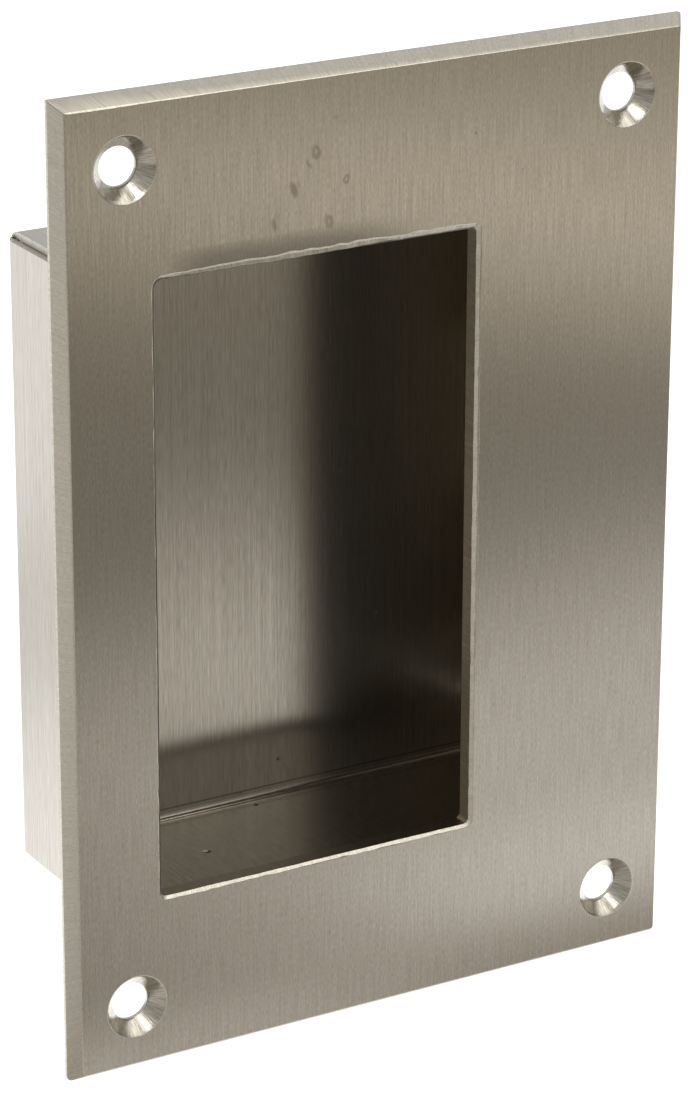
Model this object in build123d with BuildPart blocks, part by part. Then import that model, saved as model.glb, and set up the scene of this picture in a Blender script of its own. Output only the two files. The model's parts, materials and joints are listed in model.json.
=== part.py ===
from build123d import *
import os

# Flush pull for a door leaf: a bevelled face plate with a folded recess box welded behind it.
# X runs right across the plate, Y into the door and Z up, in millimetres.
# The origin is the centre of the plate's back face, which lies on the door.

# Face plate
plate_width = 88.9
plate_height = 127.0
plate_thickness = 2.5
plate_corner_radius = 0.4
edge_land = 0.5  # square band at the back of each edge, behind the bevel
edge_bevel = 1.3  # width of the bevel, measured across the face

# Screw holes, for countersunk wood screws of 4.2 mm
screw_inset = 9.1  # from the plate's edges to each hole's centre
screw_hole_radius = 2.45
countersink_radius = 4.2
countersink_angle = 82

# Opening, placed by the width of plate left on each side of it
left_rail = 12.9
right_rail = 31.0
end_rail = 23.2
opening_corner_radius = 1.2
edge_break = 0.5  # chamfer round the opening's front edge

# Hand dressing, which flattens the opening's top edge further from left to right
dressing_start = 3.0  # from the opening's left side
dressing_run = 12.0  # length over which the dressing grows to its full width
dressing_width = 1.05
dressing_end_width = 0.85  # at the opening's right side
dressing_slope = 0.35  # depth for each unit of width

# Recess box, folded from one sheet
sheet = 0.95
bend_radius = 0.8  # inside the bend
recess_depth = 20.2  # from the plate's back to the inside of the box's back
box_side_margin = 4.75  # from the plate's edge to the box, left and right
end_lip = 0.55  # plate that stands inside the box's top and bottom walls
seam_gap = 0.15  # between two walls at each open corner
bend_relief = 0.3  # notch at the ends of each bend, past its bend line

# Fillet welds between the box and the plate's back
bead_leg = 1.5
bead_length = 14.0
bead_inset = 20.0  # from the end of a wall to the middle of its bead

# Sizes that follow from the ones above
face_y = -plate_thickness
screw_spacing_x = plate_width - 2 * screw_inset
screw_spacing_z = plate_height - 2 * screw_inset
opening_width = plate_width - left_rail - right_rail
opening_height = plate_height - 2 * end_rail
opening_x = (left_rail - right_rail) / 2
opening_left = opening_x - opening_width / 2
opening_right = opening_x + opening_width / 2
opening_top = opening_height / 2
inner_half_width = plate_width / 2 - box_side_margin - sheet
inner_half_height = opening_height / 2 + end_lip
outer_half_width = inner_half_width + sheet
outer_half_height = inner_half_height + sheet
wall_reach = recess_depth - bend_radius - bend_relief

os.makedirs("parts", exist_ok=True)


def dressing_section(x, width):
    """The corner that is filed off the opening's top edge, at one place along it."""
    depth = dressing_slope * width
    with BuildSketch(Plane.YZ.offset(x)) as section:
        with BuildLine():
            Polyline(
                (face_y + 2 * depth, opening_top - width),
                (face_y - depth, opening_top + 2 * width),
                (face_y - depth, opening_top - width),
                close=True,
            )
        make_face()
    return section.sketch


# Face plate: cut from plate stock, bevelled along its four edges, then pierced
with BuildPart() as face_plate:
    with BuildSketch(Plane.XZ):
        Rectangle(plate_width, plate_height)
    extrude(amount=plate_thickness)
    face = face_plate.faces().sort_by(Axis.Y)[0]
    chamfer(face.edges(), edge_bevel, plate_thickness - edge_land, reference=face)
    corner_edges = face_plate.edges().filter_by(
        lambda edge: abs(edge.center().X) > plate_width / 2 - edge_bevel
        and abs(edge.center().Z) > plate_height / 2 - edge_bevel
    )
    fillet(corner_edges, plate_corner_radius)

    with BuildSketch(Plane.XZ):
        with Locations((opening_x, 0)):
            RectangleRounded(opening_width, opening_height, opening_corner_radius)
    extrude(amount=plate_thickness, mode=Mode.SUBTRACT)
    rim = face_plate.faces().sort_by(Axis.Y)[0].inner_wires()[0]
    chamfer(rim.edges(), edge_break)
    loft(
        [
            dressing_section(opening_left + dressing_start, edge_break / 2),
            dressing_section(opening_left + dressing_start + dressing_run, dressing_width),
            dressing_section(opening_right + edge_break, dressing_end_width),
        ],
        ruled=True,
        mode=Mode.SUBTRACT,
    )

    with Locations(Plane.XZ.offset(plate_thickness)):
        with GridLocations(screw_spacing_x, screw_spacing_z, 2, 2):
            CounterSinkHole(
                screw_hole_radius,
                countersink_radius,
                plate_thickness,
                countersink_angle,
            )
face_plate.part.label = "face_plate"
export_step(face_plate.part, "parts/face_plate.step")


def channel(half_width, plane):
    """The back and two bent walls, cut through the sheet; half_width is to a wall's inside."""
    with BuildSketch(plane) as section:
        with BuildLine():
            inside = FilletPolyline(
                (-half_width, 0),
                (-half_width, recess_depth),
                (half_width, recess_depth),
                (half_width, 0),
                radius=bend_radius,
            )
            offset(inside, amount=sheet, side=Side.LEFT)
        make_face()
    return section.sketch


def wall_feet(half_width, plane):
    """The flat of the same two walls, from the plate to just short of their bends."""
    with BuildSketch(plane) as section:
        for side in (-1, 1):
            with Locations((side * (half_width + sheet / 2), wall_reach / 2)):
                Rectangle(sheet, wall_reach)
    return section.sketch


# Recess box: one blank, with four flanges folded forward from its back.
# A bend runs between the bend lines beside it. The wall past it widens to an open corner seam,
# where it stops level with the inside of the walls beside it.
across = Plane.XY
upright = Plane(origin=(0, 0, 0), x_dir=(0, 0, 1), z_dir=(-1, 0, 0))
with BuildPart() as pull_box:
    for half_width, plane, half_length in (
        (inner_half_width, across, inner_half_height),
        (inner_half_height, upright, inner_half_width),
    ):
        extrude(channel(half_width, plane), half_length - bend_radius, both=True)
        extrude(wall_feet(half_width, plane), half_length - seam_gap, both=True)
pull_box.part.label = "pull_box"
export_step(pull_box.part, "parts/pull_box.step")


def bead_profile(place):
    """Half of a slot with round ends, lying on the plate along the foot of a wall."""
    with BuildSketch(place) as profile:
        SlotOverall(bead_length, 2 * bead_leg)
        Rectangle(
            bead_length,
            bead_leg,
            align=(Align.CENTER, Align.MIN),
            mode=Mode.INTERSECT,
        )
    return profile.sketch


# Weld beads: short convex fillets with round ends, outside the box at the foot of each wall
side_bead = Plane(
    (outer_half_width, 0, inner_half_height - bead_inset), x_dir=(0, 0, 1), z_dir=(0, 1, 0)
)
end_bead = Plane(
    (inner_half_width - bead_inset, 0, outer_half_height), x_dir=(-1, 0, 0), z_dir=(0, 1, 0)
)
with BuildPart() as weld_beads:
    for place in (side_bead, end_bead):
        revolve(bead_profile(place), Axis(place.origin, place.x_dir), revolution_arc=90)
    mirror(about=Plane.YZ)
    mirror(about=Plane.XY)
weld_beads.part.label = "weld_beads"
export_step(weld_beads.part, "parts/weld_beads.step")
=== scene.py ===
import json

import bpy
import numpy as np
from mathutils import Matrix, Vector
from mathutils.geometry import delaunay_2d_cdt


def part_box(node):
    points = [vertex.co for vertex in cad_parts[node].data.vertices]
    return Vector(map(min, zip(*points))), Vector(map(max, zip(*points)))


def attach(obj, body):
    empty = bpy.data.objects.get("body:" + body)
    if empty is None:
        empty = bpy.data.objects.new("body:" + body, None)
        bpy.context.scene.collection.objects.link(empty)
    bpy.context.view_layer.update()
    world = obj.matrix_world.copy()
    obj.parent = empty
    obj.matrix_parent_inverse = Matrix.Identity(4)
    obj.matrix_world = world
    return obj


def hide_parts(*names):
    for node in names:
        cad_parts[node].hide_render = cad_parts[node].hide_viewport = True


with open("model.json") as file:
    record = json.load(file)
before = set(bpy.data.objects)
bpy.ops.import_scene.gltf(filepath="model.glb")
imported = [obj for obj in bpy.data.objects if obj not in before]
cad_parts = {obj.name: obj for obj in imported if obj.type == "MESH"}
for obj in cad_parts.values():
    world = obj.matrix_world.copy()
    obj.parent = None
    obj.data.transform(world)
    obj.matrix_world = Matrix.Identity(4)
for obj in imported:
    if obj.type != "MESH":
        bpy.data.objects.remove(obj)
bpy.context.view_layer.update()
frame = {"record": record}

# Face plate
# Stainless plate, ground to a bevel along its four edges and brushed upright on its face.
# The opening is milled, and its front edge is then broken by hand with a file.
mm = 0.001
plate_low, plate_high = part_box("face_plate")
face_y = plate_low.y
bevel_width = 1.3 * mm
land = 0.5 * mm  # square band behind the bevel
edge_softness = 0.05 * mm  # the round that brushing leaves on a ground edge
flat_strip = 0.2 * mm  # of the flat side next to an edge, kept in that edge's ring of points
opening_low = Vector((-31.55 * mm, 0, -40.1 * mm))
opening_high = Vector((13.65 * mm, 0, 40.3 * mm))
dressed_extra = 0.38 * mm  # width that the file adds along the top, where it is leant over
dressed_slope = 0.4  # depth for each unit of width
torn_share = 0.34  # of the dressing's width, at its upper border, where the file has torn
torn_slope = 1.45 * dressed_slope
torn_softness = 0.03 * mm
sag_width = 1.3 * mm  # above the dressing, where the face has been rubbed down with it
sag_depth = 0.085 * mm
screw_mount = next(m for m in frame["record"]["mounts"] if m["name"] == "screw_holes")
screw_x = screw_mount["dims"]["spacing_x_mm"] / 2 * mm
screw_z = screw_mount["dims"]["spacing_y_mm"] / 2 * mm
hole_radius = screw_mount["dims"]["hole_r_mm"] * mm
sink_radius = 4.2 * mm
sink_angle = np.radians(41)  # half of the cutter's 82 degrees
sink_wear = 0.09 * mm  # round at the countersink's rim
sink_softness = 0.03 * mm  # and at its foot
chatter = 0.03 * mm  # height of the waves that the cutter leaves round the cone
cone_rows = 5


def rounded_loop(t, half_x, half_z, radius):
    """Points round a rectangle with round corners, anticlockwise seen from the front.
    t counts its sides and corners in turn, from 0 at the foot of the right side to 8. A point is
    the centre of the nearest corner's circle plus its radius along an angle, which turns only in
    the corners."""
    angle = np.pi / 2 * (t // 2 + np.clip(t % 2 - 1, 0, 1))
    side_x = np.interp(t, np.arange(9), [1, 1, 1, -1, -1, -1, -1, 1, 1])
    side_z = np.interp(t, np.arange(9), [-1, 1, 1, 1, 1, -1, -1, -1, -1])
    x = side_x * (half_x - radius) + radius * np.cos(angle)
    z = side_z * (half_z - radius) + radius * np.sin(angle)
    return x, z


def loop_steps(along_x, along_z, corner):
    """Even steps of t round such a loop, with that many to a side or a corner."""
    counts = [along_z, corner, along_x, corner] * 2
    return np.concatenate([i + np.arange(n) / n for i, n in enumerate(counts)])


def wander(count, blur, seed):
    """A smooth random line round a closed loop: white noise, blurred over so many points."""
    noise = np.fft.rfft(np.random.default_rng(seed).normal(size=count))
    line = np.fft.irfft(noise * np.exp(-8 * (np.fft.rfftfreq(count) * blur) ** 2), count)
    return line / np.abs(line).max()


def soften(corners, sizes):
    """A profile with its inner corners rounded: each becomes the start, the middle and the end
    of a parabola that leaves the two sides at that distance from the corner. Corners are pairs
    of inset and depth, which may differ for each step of the loop, as may the sizes."""
    count = max(np.size(value) for corner in corners for value in corner)
    corners = [np.stack([np.broadcast_to(v, count) for v in corner], -1) for corner in corners]
    rows = [corners[0]]
    for before, corner, after, size in zip(corners, corners[1:], corners[2:], sizes):
        size = np.broadcast_to(size, count)[:, None]
        back, on = before - corner, after - corner
        start = corner + size * back / np.linalg.norm(back, axis=-1, keepdims=True)
        end = corner + size * on / np.linalg.norm(on, axis=-1, keepdims=True)
        rows += [start, (start + 2 * corner + end) / 4, end]
    return np.array(rows + [corners[-1]])


def ring_quads(rows, count, inward=False):
    """Corner numbers of the quads between the rows of a closed ring, a row at a time."""
    row, column = np.meshgrid(np.arange(rows - 1), np.arange(count), indexing="ij")
    here, beside = row * count + column, row * count + (column + 1) % count
    quads = np.stack([here, here + count, beside + count, beside], axis=-1)
    return quads[..., ::-1] if inward else quads


def ring_uv(around, across, inward=False):
    """The same quads' corners in metres around and across the ring."""
    rows, count = len(across), len(around) - 1
    row, column = np.meshgrid(np.arange(rows - 1), np.arange(count), indexing="ij")
    u = np.stack([around[column], around[column], around[column + 1], around[column + 1]], -1)
    v = np.stack([across[row], across[row + 1], across[row + 1], across[row]], -1)
    uv = np.stack([u, v], axis=-1)
    return uv[..., ::-1, :] if inward else uv


def run_length(points):
    """Length along a line of points, from 0 at its first."""
    steps = np.linalg.norm(np.diff(points, axis=0), axis=-1)
    return np.concatenate([[0], np.cumsum(steps)])


# Finishes of the plate, in the order of the materials that follow its mesh
FACE, BEVEL, ROLLED, LAND, DRESSED, FILED, BURRED, CUT, CONE, REAR = range(10)
points, faces, uvs, finishes, smooths = [], [], [], [], []


def keep_ring(rows_xyz, across, quad_finish, quad_smooth, inward=False):
    """Adds a ring of rows of points, and returns the numbers of its first and last row. The
    map's v runs across the ring, or upright where the ring is part of the face or the back."""
    rows, count = rows_xyz.shape[:2]
    first = sum(len(p) for p in points)
    around = run_length(np.vstack([rows_xyz[0], rows_xyz[0][:1]]))
    points.append(rows_xyz.reshape(-1, 3))
    quads = ring_quads(rows, count, inward)
    uv = ring_uv(around, across, inward)
    upright = np.isin(quad_finish, (FACE, REAR))
    uv[upright] = points[-1][quads[upright]][..., [0, 2]]
    faces.extend(first + quads.reshape(-1, 4))
    uvs.extend(uv.reshape(-1, 4, 2))
    finishes.extend(np.repeat(quad_finish, count))
    smooths.extend(np.repeat(quad_smooth, count))
    return first + np.arange(count), first + (rows - 1) * count + np.arange(count)


# Outer edge of the plate, from the face over the bevel and the land to the back.
# Along the top, t from 2 to 3, the belt has rolled the face over, further towards the left.
t = loop_steps(360, 130, 6)
corner_round = np.interp(t, np.arange(9), [0.3, 0.3, 0.3, 0.2, 0.2, 0.8, 0.8, 0.4, 0.3]) * mm
least_rolled = 0.12 * mm
rolled = mm * np.interp(
    t,
    [1.99, 2, 2.06, 2.2, 2.44, 2.68, 2.79, 2.88, 2.95, 3, 3.01],
    [0.12, 0.2, 0.25, 0.32, 0.38, 0.5, 0.68, 0.85, 1.1, 1.15, 0.12],
)
long_waves, short_waves = wander(len(t), 16, 1), wander(len(t), 3, 2)
rolled = rolled * np.clip(0.95 + 0.15 * long_waves + 0.25 * short_waves, 0.6, 1.1)
rolled = np.maximum(rolled, least_rolled)
bevel_slope = np.arctan2(-land - face_y, bevel_width)
# The strip ends on the bevel in a round that takes up half to three quarters of it
rolled_round = 0.85 * rolled - 0.04 * mm
edge_rows = soften(
    [
        (bevel_width + 3 * flat_strip, face_y),
        (bevel_width + 0.15 * rolled, face_y),
        (bevel_width - rolled * np.cos(bevel_slope), face_y + rolled * np.sin(bevel_slope)),
        (0, -land),
        (0, 0),
        (flat_strip, 0),
    ],
    [edge_softness, rolled_round, edge_softness, edge_softness],
)
inset, depth = edge_rows[..., 0], edge_rows[..., 1]
x, z = rounded_loop(t, plate_high.x - inset, plate_high.z - inset, corner_round)
outer_front, outer_back = keep_ring(
    np.stack([x, depth, z], axis=-1),
    run_length(edge_rows[:, 0]),
    [FACE] + [ROLLED] * 3 + [BEVEL] * 4 + [LAND] * 3 + [REAR] * 2,
    [False] + [True, True, False] * 4,
)

# Rim of the opening, from the face over the filed edge and the cut to the back.
# The file has broken the edge all round, and leans over further along the top.
t = loop_steps(220, 380, 10)
corner_radius = np.interp(t, np.arange(9), [0.8, 0.5, 0.5, 1.2, 1.2, 0.8, 0.8, 0.8, 0.8]) * mm
broken = np.interp(t, np.arange(9), [0.46, 0.48, 0.5, 0.46, 0.42, 0.4, 0.36, 0.38, 0.44]) * mm
broken = broken * (1 + 0.1 * wander(len(t), 40, 5) + 0.2 * wander(len(t), 4, 6))
along_top = np.interp(t, [1.9, 2.05, 2.72, 2.95, 3.2], [0.1, 0.8, 1, 0.4, 0])
width = 1.1 * broken + dressed_extra * along_top
width = width * (1 + 0.05 * wander(len(t), 60, 3) + 0.16 * wander(len(t), 4, 4))
width = np.maximum(width, 1.04 * broken)  # room above the broken edge for its rounds
# The dressing and the broken edge, which falls at 45 degrees, meet this far from the cut
meeting = (broken - dressed_slope * width) / (1 - dressed_slope)
torn = torn_share * (width - meeting)
torn_round = np.minimum(torn_softness, 0.4 * torn)
sag = sag_depth * np.interp(t, [2.15, 2.45, 2.85, 2.99], [0, 1, 1, 0])
rim_rows = soften(
    [
        (width + 2 * sag_width, face_y),
        (width + sag_width, face_y),
        (width, face_y + sag),
        (width - torn, face_y + sag + torn_slope * torn),
        (meeting, face_y + broken - meeting),
        (0, face_y + broken),
        (0, 0),
        (flat_strip, 0),
    ],
    [0.95 * sag_width, torn_round, torn_round, torn_round, torn_softness, edge_softness],
)
offset, depth = rim_rows[..., 0], rim_rows[..., 1]
half_x = (opening_high.x - opening_low.x) / 2
half_z = (opening_high.z - opening_low.z) / 2
x, z = rounded_loop(t, half_x + offset, half_z + offset, corner_radius + 0.5 * offset)
x = x + (opening_high.x + opening_low.x) / 2
rim_front, rim_back = keep_ring(
    np.stack([x, depth, z], axis=-1),
    run_length(rim_rows[:, 0]),
    [FACE] * 4 + [FILED] * 4 + [DRESSED] * 4 + [FILED] + [BURRED] * 2 + [CUT] * 3 + [REAR],
    [True] * 6 + [False, True, True] * 4 + [False],
    inward=True,
)

# Countersinks. Chatter moves the rows of the cone in and out, each by its own share.
turn = np.arange(120) / 120 * 2 * np.pi
sink_depth = face_y + (sink_radius - hole_radius) / np.tan(sink_angle)
sink_rows = soften(
    [
        (sink_radius + flat_strip, face_y),
        (sink_radius, face_y),
        (hole_radius, sink_depth),
        (hole_radius, 0),
        (hole_radius + flat_strip, 0),
    ],
    [sink_wear, sink_softness, edge_softness],
)[:, 0]
cone = np.linspace(sink_rows[3], sink_rows[4], cone_rows + 2)[1:-1]
sink_rows = np.vstack([sink_rows[:4], cone, sink_rows[4:]])
on_cone = np.zeros(len(sink_rows))
on_cone[3 : 4 + cone_rows] = np.sin(np.linspace(0.25, 1, cone_rows + 1) * np.pi * 0.75)
strips = len(sink_rows) - 1
front_loops, back_loops = [outer_front, rim_front], [outer_back, rim_back]
for number, (side_x, side_z) in enumerate(((-1, 1), (1, 1), (-1, -1), (1, -1))):
    wave = chatter * wander(len(turn), 7, 20 + number)
    radius = sink_rows[:, :1] + on_cone[:, None] * wave
    sink_x = side_x * screw_x + radius * np.cos(turn)
    sink_z = side_z * screw_z + radius * np.sin(turn)
    sink_y = np.broadcast_to(sink_rows[:, 1:], radius.shape)
    front, back = keep_ring(
        np.stack([sink_x, sink_y, sink_z], axis=-1),
        run_length(sink_rows),
        [FACE] + [FILED] * 2 + [CONE] * (strips - 4) + [REAR],
        [False] + [True] * (strips - 2) + [False],
        inward=True,
    )
    front_loops.append(front)
    back_loops.append(back)


def within(spots, loop):
    """Whether each spot is inside a loop, which a line to its right then crosses an odd number
    of times."""
    x, z = spots[:, :1], spots[:, 1:]
    x0, z0 = loop.T
    x1, z1 = np.roll(loop, -1, axis=0).T
    spans = (z0 > z) != (z1 > z)
    crossing = x0 + (z - z0) * (x1 - x0) / np.where(z1 == z0, 1, z1 - z0)
    return (spans & (x < crossing)).sum(axis=1) % 2 == 1


def fill_flat(loops, finish):
    """Triangles of a flat side, between the outer loop and the holes in it. They are found with
    the points in millimetres, to suit the tolerance."""
    xyz = np.vstack(points)
    numbers = np.concatenate(loops)
    coords = [Vector(c) for c in xyz[numbers][:, [0, 2]] / mm]
    edges, first = [], 0
    for loop in loops:
        ring = first + np.arange(len(loop))
        edges += list(zip(ring.tolist(), np.roll(ring, -1).tolist()))
        first += len(loop)
    tolerance = 1e-7
    made = delaunay_2d_cdt(coords, edges, [], 0, tolerance)
    source = [ids[0] for ids in made[3]]
    triangles = numbers[np.array(source)[np.array(made[2])]]
    middle = xyz[triangles].mean(axis=1)[:, [0, 2]]
    for loop in loops[1:]:
        solid = ~within(middle, xyz[loop][:, [0, 2]])
        triangles, middle = triangles[solid], middle[solid]
    if finish == REAR:
        triangles = triangles[:, ::-1]
    faces.extend(triangles)
    uvs.extend(xyz[triangles][..., [0, 2]])
    finishes.extend([finish] * len(triangles))
    smooths.extend([False] * len(triangles))


fill_flat(front_loops, FACE)
fill_flat(back_loops, REAR)


def piece(name, points, faces, uv, finish, smooth, materials):
    """One closed mesh of quads and triangles, with its grain in a UV map in metres."""
    mesh = bpy.data.meshes.new(name)
    mesh.from_pydata(points.tolist(), [], [list(map(int, f)) for f in faces])
    layer = mesh.uv_layers.new(name="grain")
    layer.uv.foreach_set("vector", np.concatenate(uv).astype(np.float32).ravel())
    mesh.polygons.foreach_set("material_index", np.array(finish, dtype=np.int32))
    mesh.polygons.foreach_set("use_smooth", np.array(smooth, dtype=bool))
    for material in materials:
        mesh.materials.append(material)
    mesh.update()
    made = bpy.data.objects.new(name, mesh)
    bpy.context.scene.collection.objects.link(made)
    return made


def linear(code):
    """An sRGB hex colour as linear red, green and blue, with an alpha of 1."""
    srgb = np.array([int(code[i : i + 2], 16) for i in (1, 3, 5)]) / 255
    low, high = srgb / 12.92, ((srgb + 0.055) / 1.055) ** 2.4
    return (*np.where(srgb <= 0.04045, low, high).tolist(), 1.0)


def add(tree, kind, settings=None, out=0, **inputs):
    """Adds a shader node and returns one of its outputs. Settings are the node's own. Inputs are
    values or sockets to link, each under its name or its number after an i."""
    node = tree.nodes.new("ShaderNode" + kind)
    for key, value in (settings or {}).items():
        setattr(node, key, value)
    for key, value in inputs.items():
        socket = node.inputs[int(key[1:]) if key[1:].isdigit() else key.replace("_", " ")]
        if isinstance(value, bpy.types.NodeSocket):
            tree.links.new(value, socket)
        else:
            socket.default_value = value
    return node.outputs[out] if node.outputs else None


# Settings of shader nodes, named for what they do
smooth_step = {"interpolation_type": "SMOOTHSTEP"}
of_colours = {"data_type": "RGBA"}
plus, minus = {"operation": "ADD"}, {"operation": "SUBTRACT"}
times, over = {"operation": "MULTIPLY"}, {"operation": "DIVIDE"}
times_plus = {"operation": "MULTIPLY_ADD"}
larger_of, smaller_of = {"operation": "MAXIMUM"}, {"operation": "MINIMUM"}
unsigned = {"operation": "ABSOLUTE"}
length_of, distance_of = {"operation": "LENGTH"}, {"operation": "DISTANCE"}


def grained_steel(name, colours, roughness, stretch, line, depth, broad=0.4, stain=None):
    """Stainless steel with a grain along v of the map, in lines of that width and length. Two
    noises, drawn out along v, tint the steel between its two colours: the fine lines, and broad
    ones twice as wide and ten times as long, which have their share. The fine lines stand as
    ridges of that depth, and reflections stretch across them. A stain changes the colour last."""
    material = bpy.data.materials.new(name)
    material.use_nodes = True
    tree = material.node_tree
    tree.nodes.clear()
    width, length = line
    place = add(tree, "UVMap", {"uv_map": "grain"})
    fine_at = add(tree, "Mapping", Vector=place, Scale=(1 / width, 1 / length, 1))
    fine = add(tree, "TexNoise", Vector=fine_at, Scale=1.0, Detail=2.0)
    wide_at = add(tree, "Mapping", Vector=place, Scale=(0.5 / width, 0.1 / length, 1))
    wide = add(tree, "TexNoise", Vector=wide_at, Scale=1.0, Detail=3.0)
    both = add(tree, "Mix", i0=broad, i2=fine, i3=wide)
    spread = add(tree, "MapRange", i0=both, i1=0.3, i2=0.7)
    dark, light = linear(colours[0]), linear(colours[1])
    colour = add(tree, "Mix", of_colours, out=2, i0=spread, i6=dark, i7=light)
    rough = add(
        tree, "MapRange", i0=wide, i1=0.3, i2=0.7, i3=roughness * 1.1, i4=roughness * 0.9
    )
    shader = add(
        tree,
        "BsdfPrincipled",
        Metallic=1.0,
        Anisotropic=stretch,
        Base_Color=stain(tree, colour) if stain else colour,
        Roughness=rough,
        Normal=add(tree, "Bump", Height=fine, Distance=depth, Strength=1.0),
        Tangent=add(tree, "Tangent", {"direction_type": "UV_MAP", "uv_map": "grain"}),
    )
    add(tree, "OutputMaterial", Surface=shader)
    return material


def smudges(tree, colour):
    """Greasy touches on the face, each a soft ring or blob round its own place on the plate,
    turned and stretched, with a wavering outline. Dark specks are small blobs."""
    waver_size, sway = 1.1 * mm, 0.7 * mm
    place = add(tree, "TexCoord", out="Object")
    waver = add(tree, "TexNoise", out="Color", Vector=place, Scale=1 / waver_size, Detail=2.0)
    shift = add(tree, "VectorMath", times_plus, i0=waver, i1=(sway,) * 3, i2=(-sway / 2,) * 3)
    place = add(tree, "VectorMath", plus, i0=place, i1=shift)
    mask = 0.0
    for x, z, half_x, half_z, turn, hollow, strength in (
        (-9.5, 53.1, 0.62, 0.85, -25, 0.7, 0.5),
        (-10.5, 51.8, 0.3, 1.2, -35, 0.0, 0.4),
        (-12.6, 48.8, 0.55, 1.3, -20, 0.3, 0.6),
        (-11.9, 49.4, 0.3, 0.8, -5, 0.0, 0.35),
        (-15.3, 44.9, 0.45, 1.3, 0, 0.0, 0.55),
        (-7.7, 44.2, 0.6, 0.9, -25, 0.6, 0.5),
        (-5.3, 49.2, 0.4, 0.6, 10, 0.7, 0.5),
        (-6.8, 57.0, 0.7, 0.5, 30, 0.0, 0.25),
        (8.0, 55.1, 0.22, 0.22, 0, 0.0, 0.4),
        (8.6, 53.6, 0.22, 0.3, 0, 0.0, 0.35),
        (13.1, 52.4, 0.16, 0.22, 0, 0.0, 0.9),
        (11.7, 50.6, 0.16, 0.2, 0, 0.0, 0.5),
        (20.0, 46.9, 0.25, 0.12, 35, 0.0, 0.8),
        (5.6, 45.9, 0.12, 0.5, -20, 0.0, 0.25),
    ):
        local = add(
            tree,
            "Mapping",
            {"vector_type": "TEXTURE"},
            Vector=place,
            Location=(x * mm, 0, z * mm),
            Rotation=(0, np.radians(turn), 0),
            Scale=(half_x * mm, 1, half_z * mm),
        )
        away = add(tree, "VectorMath", length_of, out="Value", i0=local)
        off_ring = add(tree, "Math", unsigned, i0=add(tree, "Math", minus, i0=away, i1=hollow))
        border, core = 1 - hollow * 0.5, 0.2 - hollow * 0.2
        spot = add(tree, "MapRange", smooth_step, i0=off_ring, i1=border, i2=core, i4=strength)
        mask = add(tree, "Math", larger_of, i0=mask, i1=spot)
    return add(tree, "Mix", of_colours, out=2, i0=mask, i6=colour, i7=linear("#8a8072"))


# Satin brushed stainless. Its upright lines draw each reflection out sideways, so that the face
# shows soft level bands of light. The real lines are too fine to show, and are drawn coarser.
brushed = grained_steel(
    "satin_brushed_stainless",
    ("#bcb6ab", "#e0dbd3"),
    roughness=0.2,
    stretch=0.74,
    line=(0.13 * mm, 0.7 * mm),
    depth=0.001 * mm,
    stain=smudges,
)
# Belt-ground stainless, duller than the face, with its lines across the bevel
ground = grained_steel(
    "belt_ground_bevel",
    ("#b0aa9d", "#d2cdc1"),
    roughness=0.3,
    stretch=0.6,
    line=(0.14 * mm, 0.5 * mm),
    depth=0.003 * mm,
)
# Edge that the belt has rolled over, which gives short bright strokes down its round
rolled_over = grained_steel(
    "rolled_edge",
    ("#bab4a8", "#fffdf4"),
    roughness=0.26,
    stretch=0.3,
    line=(0.13 * mm, 0.8 * mm),
    depth=0.014 * mm,
)
# Sawn edge of the stock, pale and matt
cut_edge = grained_steel(
    "sawn_plate_edge",
    ("#bdb8aa", "#e6e2d6"),
    roughness=0.36,
    stretch=0.2,
    line=(0.2 * mm, 0.6 * mm),
    depth=0.003 * mm,
)
# Steel dressed by hand, with short coarse strokes that break up its shine
dressed = grained_steel(
    "dressed_edge",
    ("#b3ada0", "#f6f3ea"),
    roughness=0.3,
    stretch=0.3,
    line=(0.15 * mm, 0.4 * mm),
    depth=0.012 * mm,
)
# Fresh steel where the file has torn the edge, and on the countersinks' rims. It is the palest
# part, with pits that glitter.
filed = grained_steel(
    "filed_edge",
    ("#d8d1c3", "#fffdf6"),
    roughness=0.3,
    stretch=0.0,
    line=(0.2 * mm, 0.2 * mm),
    depth=0.04 * mm,
)
# Burrs pushed over the edge, bright and dark side by side
burred = grained_steel(
    "burred_edge",
    ("#7d7464", "#fffdf6"),
    roughness=0.34,
    stretch=0.0,
    line=(0.22 * mm, 0.22 * mm),
    depth=0.04 * mm,
)
# Milled cut through the plate, darker than the face, with long faint marks
milled = grained_steel(
    "milled_cut",
    ("#9d9589", "#c3bbae"),
    roughness=0.3,
    stretch=0.3,
    line=(0.2 * mm, 1.5 * mm),
    depth=0.003 * mm,
)
# Turned countersink, the shiniest part, with marks down its cone where the cutter chattered,
# which split its light into sectors
turned = grained_steel(
    "chattered_countersink",
    ("#9c968a", "#f3f0e8"),
    roughness=0.12,
    stretch=0.4,
    line=(0.13 * mm, 1.6 * mm),
    depth=0.016 * mm,
)

# The tint that the welds leave behind the plate is placed by the box and its beads
box_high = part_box("pull_box")[1]
sheet = 0.95 * mm
inner_x, inner_z = box_high.x - sheet, box_high.z - sheet
bead_inset = 20 * mm  # from the end of a wall to the middle of its bead
hot_half = 6 * mm  # half the length of the line in each bead from which the heat has spread
tint_reach = 6 * mm


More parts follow.
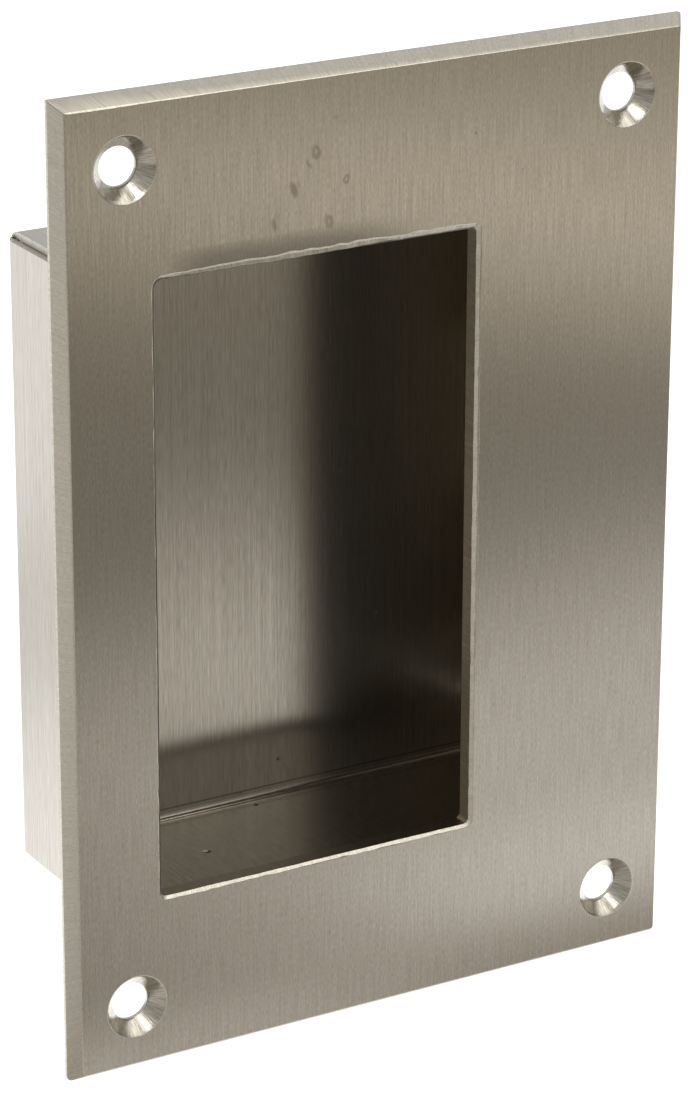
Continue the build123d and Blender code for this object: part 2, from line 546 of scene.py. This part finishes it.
def heat_tint(tree, colour):
    """Blue, brown and straw rings that welding leaves in the steel. Their hue is read from the
    distance to the nearest bead, which symmetry folds to two places."""
    waver_size, sway = 3 * mm, 0.8 * mm
    place = add(tree, "TexCoord", out="Object")
    waver = add(tree, "TexNoise", Vector=place, Scale=1 / waver_size, Detail=2.0)
    folded_over = add(tree, "VectorMath", unsigned, i0=place)
    nearest = 1.0
    for middle, half in (
        ((box_high.x, 0, inner_z - bead_inset), (0, 0, hot_half)),
        ((inner_x - bead_inset, 0, box_high.z), (hot_half, 0, 0)),
    ):
        from_middle = add(tree, "VectorMath", minus, i0=folded_over, i1=middle)
        apart = add(tree, "VectorMath", unsigned, i0=from_middle)
        past = add(tree, "VectorMath", minus, i0=apart, i1=half)
        beyond = add(tree, "VectorMath", larger_of, i0=past, i1=(0, 0, 0))
        away = add(tree, "VectorMath", length_of, out="Value", i0=beyond)
        nearest = add(tree, "Math", smaller_of, i0=nearest, i1=away)
    shift = add(tree, "Math", times_plus, i0=waver, i1=-2 * sway, i2=sway)
    away = add(tree, "Math", plus, i0=nearest, i1=shift)
    hue = add(tree, "ValToRGB", Fac=add(tree, "Math", over, i0=away, i1=tint_reach))
    stops = hue.node.color_ramp.elements
    stops[0].color, stops[1].color = linear("#d2d0cc"), linear("#ffffff")
    for at, code in ((0.4, "#c3c8d8"), (0.52, "#d9c7a6"), (0.7, "#f3ead0")):
        stops.new(at).color = linear(code)
    product = {"data_type": "RGBA", "blend_type": "MULTIPLY"}
    return add(tree, "Mix", product, out=2, i0=1.0, i6=colour, i7=hue)


# Mill finish of the plate's back, softer and paler than the face, with long faint rolling lines
rear = grained_steel(
    "rolled_plate_back",
    ("#cac4b9", "#dbd6cc"),
    roughness=0.28,
    stretch=0.5,
    line=(0.3 * mm, 6 * mm),
    depth=0.001 * mm,
    stain=heat_tint,
)
plate_finishes = [
    brushed, ground, rolled_over, cut_edge, dressed, filed, burred, milled, turned, rear
]
plate = piece(
    "dressed_face_plate", np.vstack(points), faces, uvs, finishes, smooths, plate_finishes
)
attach(plate, "root")
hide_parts("face_plate")

# Recess box
# One blank of 0.95 mm stainless sheet with an upright grain, folded forward along four bends.
# Its corners stay open as seams, and the shears have left its edges rough.
bend_radius = 0.8 * mm
seam_gap = 0.12 * mm  # between the end of a side wall and the end flange over it
web = 0.3 * mm  # that the bends reach past their walls, where the fold has drawn them out
mitre_gap = 0.02 * mm  # that keeps the bends of two flanges apart
recess_depth = box_high.y - sheet
bend_steps = 12


def flange(inner, beside, reach):
    """The inside and outside skins of one flange, as rows from its front edge down its wall and
    round its bend to the back: distance out from the middle, depth, half length and place on
    the flat blank. A bend is a quarter circle. It stops where the next flange's bend would meet
    it, at their mitre, and no further out than its web past the end of the wall."""
    angle = np.linspace(0, np.pi / 2, bend_steps + 1)
    radius = np.array([[bend_radius], [bend_radius + sheet]])
    front = np.array([[0], [sheet]])
    out = np.hstack([inner + front, inner - bend_radius + radius * np.cos(angle)])
    deep = np.hstack([[[0], [0]], recess_depth - bend_radius + radius * np.sin(angle)])
    mitre = np.minimum((radius - mitre_gap) * np.cos(angle), reach + web * np.sin(angle))
    half = beside - bend_radius + np.hstack([[[reach], [reach]], mitre])
    length = run_length(np.stack([out[0], deep[0]], axis=-1))
    return out, deep, half, inner - bend_radius + length[-1] - length


# Four flanges, each of two skins of rows of two points, and the walls between the skins
INSIDE, SHEARED, OUTSIDE = range(3)
points, faces, uvs, finishes = [], [], [], []
rows = bend_steps + 2
step = np.arange(rows - 1)[:, None] * 2
skin = 2 * rows
for side, upright in ((1, False), (-1, False), (1, True), (-1, True)):
    if upright:
        out, deep, half, blank = flange(inner_z, inner_x, bend_radius)
    else:
        out, deep, half, blank = flange(inner_x, inner_z, bend_radius - seam_gap)
    along = half[..., None] * [-1, 1]
    out, deep = side * out[..., None] * [1, 1], deep[..., None] * [1, 1]
    blank = np.broadcast_to(side * blank[None, :, None], along.shape)
    first = sum(len(p) for p in points)
    order = [along, deep, out] if upright else [out, deep, along]
    points.append(np.stack(order, axis=-1).reshape(-1, 3))
    flat = np.stack([along, blank] if upright else [blank, along], axis=-1).reshape(-1, 2)
    across = np.stack([blank.ravel(), np.repeat([0, sheet], skin)], axis=-1)
    level = np.stack([along.ravel(), np.repeat([0, sheet], skin)], axis=-1)
    for quads, corner_map, finish in (
        (step + [0, 2, 3, 1], flat, INSIDE),
        (step + skin + [1, 3, 2, 0], flat, OUTSIDE),
        (step + [1, 3, skin + 3, skin + 1], across, SHEARED),
        (step + [0, skin, skin + 2, 2], across, SHEARED),
        (np.array([[0, 1, skin + 1, skin]]), level, SHEARED),
    ):
        if (side > 0) != upright:
            quads = quads[:, ::-1]
        faces.extend(first + quads)
        uvs.extend(corner_map[quads])
        finishes.extend([finish] * len(quads))

# Flat middle of the blank, as the back of the box, whose corners are also the bends' ends
corners = np.array([[-1, -1], [1, -1], [1, 1], [-1, 1]])
corners = corners * [inner_x - bend_radius, inner_z - bend_radius]
for depth, finish in ((recess_depth, INSIDE), (recess_depth + sheet, OUTSIDE)):
    winding = slice(None) if finish == INSIDE else slice(None, None, -1)
    faces.append((sum(len(p) for p in points) + np.arange(4))[winding])
    points.append(np.stack([corners[:, 0], np.full(4, depth), corners[:, 1]], axis=-1))
    uvs.append(corners[winding])
    finishes.append(finish)
everything = np.vstack(points)
same_place = 0.001 * mm  # within which points become one
_, kept, where = np.unique(
    np.round(everything / same_place), axis=0, return_index=True, return_inverse=True
)


def specks_glints_and_crease_shade(tree, colour):
    """Pips of weld spatter inside the recess, as small round blobs. The white ones are painted
    highlights on the pips, and the dark blob under the first is its painted shadow. Two more
    dark blobs sit on the fold and on the back. Fine dark lines in the bend between the floor and
    the back are painted shade."""
    place = add(tree, "TexCoord", out="Object")
    # White blobs are painted highlights, and the dark blob just under the first white one is its
    # painted shadow
    for x, y, z, radius, code in (
        (-19.4, 8.2, -40.85, 0.62, "#4c443b"),
        (-19.5, 8.5, -40.85, 0.5, "#ffffff"),
        (-6.7, 17.9, -40.85, 0.4, "#5a5248"),
        (-2.1, 20.2, -36.1, 0.3, "#8d857a"),
        (12.9, 20.2, -18.2, 0.2, "#ffffff"),
        (7.3, 20.2, 2.7, 0.16, "#ffffff"),
        (12.9, 20.2, -25.5, 0.14, "#ffffff"),
        (22.8, 20.2, -30.4, 0.14, "#ffffff"),
    ):
        middle = (x * mm, y * mm, z * mm)
        away = add(tree, "VectorMath", distance_of, out="Value", i0=place, i1=middle)
        rim, core = radius * mm, 0.6 * radius * mm
        spot = add(tree, "MapRange", smooth_step, i0=away, i1=rim, i2=core)
        colour = add(tree, "Mix", of_colours, out=2, i0=spot, i6=colour, i7=linear(code))
    # Painted shade: fine dark lines along the bend between the recess floor and its back
    x, y, z = add(tree, "SeparateXYZ", Vector=place).node.outputs
    low = add(tree, "MapRange", smooth_step, i0=z, i1=-39.3 * mm, i2=-39.5 * mm)
    far = add(tree, "MapRange", smooth_step, i0=y, i1=18.8 * mm, i2=19 * mm)
    on_bend = add(tree, "Math", times, i0=low, i1=far)
    for along, line in ((y, 19.2 * mm), (y, 20.0 * mm), (z, -39.6 * mm)):
        off_line = add(tree, "Math", unsigned, i0=add(tree, "Math", minus, i0=along, i1=line))
        crease_shade = add(
            tree, "MapRange", smooth_step, i0=off_line, i1=0.16 * mm, i2=0.04 * mm, i4=0.55
        )
        crease_shade = add(tree, "Math", times, i0=crease_shade, i1=on_bend)
        colour = add(tree, "Mix", of_colours, out=2, i0=crease_shade, i6=colour, i7=linear("#4a4238"))
    return colour


# Brushed stainless sheet inside the recess, with painted shade: a little darker than the plate and
# the sheet outside. Its lines are longer, and drawn coarser than real so that they show
inside = grained_steel(
    "brushed_recess_stainless_painted_shade",
    ("#b3ada2", "#e0dbd2"),
    roughness=0.18,
    stretch=0.74,
    line=(0.14 * mm, 2.5 * mm),
    depth=0.001 * mm,
    broad=0.45,
    stain=specks_glints_and_crease_shade,
)
# Sheared edge of the sheet, pale and broken
sheared = grained_steel(
    "sheared_sheet_edge",
    ("#aaa397", "#f3f0e9"),
    roughness=0.38,
    stretch=0.0,
    line=(0.14 * mm, 0.14 * mm),
    depth=0.004 * mm,
)
# The same brushed sheet outside, paler than inside the recess, with the tint of the welds
outside = grained_steel(
    "brushed_sheet_stainless",
    ("#c0b9af", "#ddd8d0"),
    roughness=0.2,
    stretch=0.74,
    line=(0.14 * mm, 3 * mm),
    depth=0.001 * mm,
    broad=0.45,
    stain=heat_tint,
)
box = piece(
    "folded_recess_box",
    everything[kept],
    [where.ravel()[f] for f in faces],
    uvs,
    finishes,
    [True] * len(faces),
    [inside, sheared, outside],
)
worn = box.modifiers.new("dulled_edges", "BEVEL")
worn.width = 0.05 * mm
worn.segments = 2
worn.angle_limit = np.radians(35)
worn.use_clamp_overlap = False
worn.harden_normals = True
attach(box, "root")
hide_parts("pull_box")

# Weld beads
# Eight short fillets of filler between the box's walls and the plate's back, laid in ripples.
# Heat has left them duller than the sheet.
bead_leg = 1.5 * mm
bead_length = 14 * mm
ripple_pitch = 1.1 * mm
ripple_height = 0.07  # share of the leg
ripple_bow = 0.6 * bead_leg  # by which a ripple's middle runs ahead of its ends

# A bead is a quarter round along its run, which swells with each ripple. Its ends are rounded
# off, and are capped just short of the point.
run = np.linspace(-0.4999, 0.4999, 121)[:, None] * bead_length
past = np.clip(np.abs(run) - bead_length / 2 + bead_leg, 0, bead_leg) / bead_leg
climb = np.linspace(0, np.pi / 2, 13)
phase = (run - ripple_bow * np.sin(2 * climb)) / ripple_pitch
swell = 1 - ripple_height + ripple_height * np.abs(np.sin(np.pi * phase))
reach = bead_leg * np.sqrt(1 - past**2) * swell
bead_out = np.concatenate([0 * run, reach * np.cos(climb)], axis=1)
bead_deep = np.concatenate([0 * run, reach * np.sin(climb)], axis=1)
bead_xyz = np.stack([np.broadcast_to(run, bead_out.shape), bead_out, bead_deep], axis=-1)
rows, count = bead_xyz.shape[:2]
ring = ring_quads(rows, count).reshape(-1, 4)
caps = [np.arange(count)[::-1], (rows - 1) * count + np.arange(count)]
around = run_length(np.vstack([bead_xyz[rows // 2], bead_xyz[rows // 2, :1]]))
ring_map = ring_uv(around, run[:, 0]).reshape(-1, 4, 2)
cap_map = bead_xyz[0, :, 1:]
points, faces, uvs, smooths = [], [], [], []
for side in (-1, 1):
    for end in (-1, 1):
        on_side = (side * box_high.x, 0, end * (inner_z - bead_inset))
        on_end = (side * (inner_x - bead_inset), 0, end * box_high.z)
        for foot, run_axis, out_axis in (
            (on_side, (0, 0, 1), (side, 0, 0)),
            (on_end, (1, 0, 0), (0, 0, end)),
        ):
            axes = np.array([run_axis, out_axis, (0, 1, 0)], dtype=float)
            winding = slice(None, None, -1 if np.linalg.det(axes) > 0 else 1)
            first = sum(len(p) for p in points)
            points.append((foot + bead_xyz @ axes).reshape(-1, 3))
            faces.extend(first + ring[:, winding])
            faces.extend(first + cap[winding] for cap in caps)
            uvs.extend(ring_map[:, winding])
            uvs.extend([cap_map[winding]] * len(caps))
            smooths.extend([True] * len(ring) + [False] * len(caps))
# Weld metal, dull and uneven, with a soft shine on each ripple
bead_steel = grained_steel(
    "weld_bead",
    ("#8b8378", "#c9c2b6"),
    roughness=0.35,
    stretch=0.0,
    line=(0.4 * mm, 0.4 * mm),
    depth=0.004 * mm,
)
beads = piece(
    "rippled_weld_beads", np.vstack(points), faces, uvs, [0] * len(faces), smooths, [bead_steel]
)
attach(beads, "root")
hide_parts("weld_beads")

# Studio
# A white floor and a white surround. Metal sees them dimmer on the camera's side of the object,
# as a real room would be there. One large soft lamp hangs over it.
camera_data = bpy.data.cameras.new("camera")
camera = bpy.data.objects.new("camera", camera_data)
bpy.context.scene.collection.objects.link(camera)
bpy.context.scene.camera = camera
# Its place and lens come from a fit to the edges of the plate and its opening
camera_azimuth = np.radians(-30.51)
camera_height = np.radians(20.54)
camera_distance = 543.2 * mm
camera_roll = np.radians(0.21)
aim = Vector((-2.83 * mm, 1.57 * mm, -0.23 * mm))
camera_data.sensor_width = 36
camera_data.lens = 141.8
camera_data.clip_start = 0.01
back = Vector(
    (
        np.sin(camera_azimuth) * np.cos(camera_height),
        -np.cos(camera_azimuth) * np.cos(camera_height),
        np.sin(camera_height),
    )
)
camera.matrix_world = (
    Matrix.Translation(aim + back * camera_distance)
    @ (-back).to_track_quat("-Z", "Y").to_matrix().to_4x4()
    @ Matrix.Rotation(camera_roll, 4, "Z")
)

floor_size = 3.0
floor_gap = 2.5 * mm  # between the floor and the plate
floor_z = plate_low.z - floor_gap
floor_mesh = bpy.data.meshes.new("studio_floor")
floor_mesh.from_pydata(
    [(x * floor_size, y * floor_size, floor_z) for x, y in ((-1, -1), (1, -1), (1, 1), (-1, 1))],
    [],
    [(0, 1, 2, 3)],
)
floor = bpy.data.objects.new("studio_floor", floor_mesh)
bpy.context.scene.collection.objects.link(floor)

# White paper under the object, matt and shadowed to the eye. Steel sees it in bands: light close
# by and far off to the right and dim between them, light to the left, and white behind.
paper = bpy.data.materials.new("white_paper")
paper.use_nodes = True
tree = paper.node_tree
tree.nodes.clear()
rightward, backward, _ = add(
    tree, "SeparateXYZ", Vector=add(tree, "TexCoord", out="Object")
).node.outputs
forward = add(tree, "Math", times, i0=backward, i1=-1.0)
# Distance off to the front right, along a slant
slant = add(
    tree,
    "Math",
    plus,
    i0=add(tree, "Math", times, i0=rightward, i1=0.78),
    i1=add(tree, "Math", times, i0=forward, i1=0.63),
)
close_by = add(
    tree,
    "Math",
    times,
    i0=add(tree, "MapRange", smooth_step, i0=forward, i1=78 * mm, i2=178 * mm, i3=1.0, i4=0.0),
    i1=add(tree, "MapRange", smooth_step, i0=rightward, i1=-60 * mm, i2=70 * mm, i3=0.1, i4=0.42),
)
at_foot = add(
    tree,
    "Math",
    times,
    i0=add(tree, "MapRange", smooth_step, i0=forward, i1=58 * mm, i2=38 * mm, i4=0.14),
    i1=add(tree, "MapRange", smooth_step, i0=rightward, i1=0, i2=40 * mm),
)
far_off = add(
    tree,
    "Math",
    minus,
    i0=add(tree, "MapRange", smooth_step, i0=slant, i1=258 * mm, i2=385 * mm, i4=0.48),
    i1=add(tree, "MapRange", smooth_step, i0=slant, i1=370 * mm, i2=480 * mm, i4=0.26),
)
to_left = add(
    tree,
    "Math",
    times,
    i0=add(tree, "MapRange", smooth_step, i0=rightward, i1=-50 * mm, i2=-100 * mm, i4=0.2),
    i1=add(tree, "MapRange", smooth_step, i0=forward, i1=240 * mm, i2=170 * mm),
)
further_left = add(
    tree,
    "Math",
    times,
    i0=add(tree, "MapRange", smooth_step, i0=rightward, i1=-80 * mm, i2=-200 * mm),
    i1=add(tree, "MapRange", smooth_step, i0=forward, i1=50 * mm, i2=120 * mm, i3=1.0, i4=1.35),
)
further_left = add(tree, "Math", larger_of, i0=further_left, i1=1.0)
to_left = add(tree, "Math", times, i0=to_left, i1=further_left)
in_front = add(
    tree, "MapRange", smooth_step, i0=rightward, i1=80 * mm, i2=130 * mm, i3=0.21, i4=0.25
)
for band in (close_by, at_foot, far_off, to_left):
    in_front = add(tree, "Math", plus, i0=in_front, i1=band)
far_limit = add(
    tree, "MapRange", smooth_step, i0=forward, i1=380 * mm, i2=425 * mm, i3=0.9, i4=0.32
)
in_front = add(
    tree,
    "Mix",
    i0=add(tree, "MapRange", smooth_step, i0=forward, i1=30 * mm, i2=8 * mm),
    i2=add(tree, "Math", smaller_of, i0=in_front, i1=far_limit),
    i3=add(tree, "MapRange", smooth_step, i0=rightward, i1=-20 * mm, i2=30 * mm, i3=0.54, i4=0.42),
)

# Levels behind the object, each at a distance in millimetres from the plate's back
behind_peak, behind_run = 1.3, 500 * mm
behind = add(tree, "ValToRGB", Fac=add(tree, "Math", over, i0=backward, i1=behind_run))
stops = behind.node.color_ramp.elements
stops[0].color, stops[1].color = [(level / behind_peak,) * 3 + (1.0,) for level in (1.1, 1.08)]
for distance, level in (
    (12, 1.3),
    (55, 1.3),
    (75, 1.24),
    (102, 1.14),
    (135, 0.93),
    (165, 0.9),
    (215, 1.08),
    (260, 1.11),
):
    stops.new(distance * mm / behind_run).color = (level / behind_peak,) * 3 + (1.0,)
level = add(
    tree,
    "Mix",
    i0=add(tree, "MapRange", smooth_step, i0=backward, i1=0, i2=2 * mm),
    i2=in_front,
    i3=add(tree, "Math", times, i0=behind, i1=behind_peak),
)
dim, bright = linear("#fff2dc"), linear("#ffffff")
tint = add(tree, "Mix", of_colours, out=2, i0=level, i6=dim, i7=bright)
warm = add(tree, "MapRange", smooth_step, i0=forward, i1=150 * mm, i2=300 * mm, i4=0.8)
tint = add(tree, "Mix", of_colours, out=2, i0=warm, i6=tint, i7=linear("#fff3dc"))
shown = add(
    tree,
    "AddShader",
    i0=add(tree, "BsdfDiffuse", Color=linear("#f4f4f4")),
    i1=add(tree, "Emission", Color=linear("#ffffff"), Strength=0.7),
)
paper_look = add(
    tree,
    "MixShader",
    i0=add(tree, "LightPath", out="Is Glossy Ray"),
    i1=shown,
    i2=add(tree, "Emission", Color=tint, Strength=level),
)
add(tree, "OutputMaterial", Surface=paper_look)
floor_mesh.materials.append(paper)

# Surround, white to the camera. Steel sees it bright overhead and dim low down in front.
world = bpy.data.worlds.new("studio")
bpy.context.scene.world = world
world.use_nodes = True
tree = world.node_tree
tree.nodes.clear()
rightward, backward, upward = add(
    tree, "SeparateXYZ", Vector=add(tree, "TexCoord", out="Generated")
).node.outputs
# Levels in front on the right, each at the sine of an angle above the horizon
overhead_peak = 1.6
right_front = add(tree, "ValToRGB", Fac=upward)
stops = right_front.node.color_ramp.elements
stops[0].color, stops[1].color = [(level / overhead_peak,) * 3 + (1.0,) for level in (0.19, 1.6)]
for height, level in (
    (0.4, 0.19),
    (0.47, 0.27),
    (0.56, 0.45),
    (0.68, 0.9),
    (0.78, 1.15),
    (0.84, 1.6),
):
    stops.new(height).color = (level / overhead_peak,) * 3 + (1.0,)
in_front = add(
    tree,
    "Mix",
    i0=add(tree, "MapRange", smooth_step, i0=rightward, i1=0.1, i2=0.3),
    i2=add(tree, "MapRange", smooth_step, i0=upward, i1=0.2, i2=0.9, i3=0.36, i4=0.62),
    i3=add(tree, "Math", times, i0=right_front, i1=overhead_peak),
)
strength = add(
    tree,
    "Mix",
    i0=add(tree, "MapRange", smooth_step, i0=backward, i1=-0.08, i2=0.06),
    i2=in_front,
    i3=add(tree, "MapRange", smooth_step, i0=upward, i1=0.4, i2=0.85, i3=0.6, i4=0.78),
)
cream, white = linear("#fffaf0"), linear("#ffffff")
to_back = add(tree, "MapRange", smooth_step, i0=backward, i1=-0.2, i2=0.1)
tint = add(tree, "Mix", of_colours, out=2, i0=to_back, i6=cream, i7=white)
light_path = add(tree, "LightPath").node.outputs
unseen = add(
    tree,
    "MixShader",
    i0=light_path["Is Glossy Ray"],
    i1=add(tree, "Background", Color=white, Strength=0.75),
    i2=add(tree, "Background", Color=tint, Strength=strength),
)
sky = add(
    tree,
    "MixShader",
    i0=light_path["Is Camera Ray"],
    i1=unseen,
    i2=add(tree, "Background", Color=white, Strength=1.0),
)
add(tree, "OutputWorld", Surface=sky)

lamp_data = bpy.data.lights.new("overhead_softbox", "AREA")
lamp_data.shape = "SQUARE"
lamp_data.size = 0.42
lamp_data.energy = 1.05
lamp = bpy.data.objects.new("overhead_softbox", lamp_data)
bpy.context.scene.collection.objects.link(lamp)
lamp.location = (-0.25, -0.47, 0.957)
lamp.rotation_mode = "QUATERNION"
lamp.rotation_quaternion = Vector(lamp.location).to_track_quat("Z", "Y")

bpy.context.scene.view_settings.view_transform = "Standard"
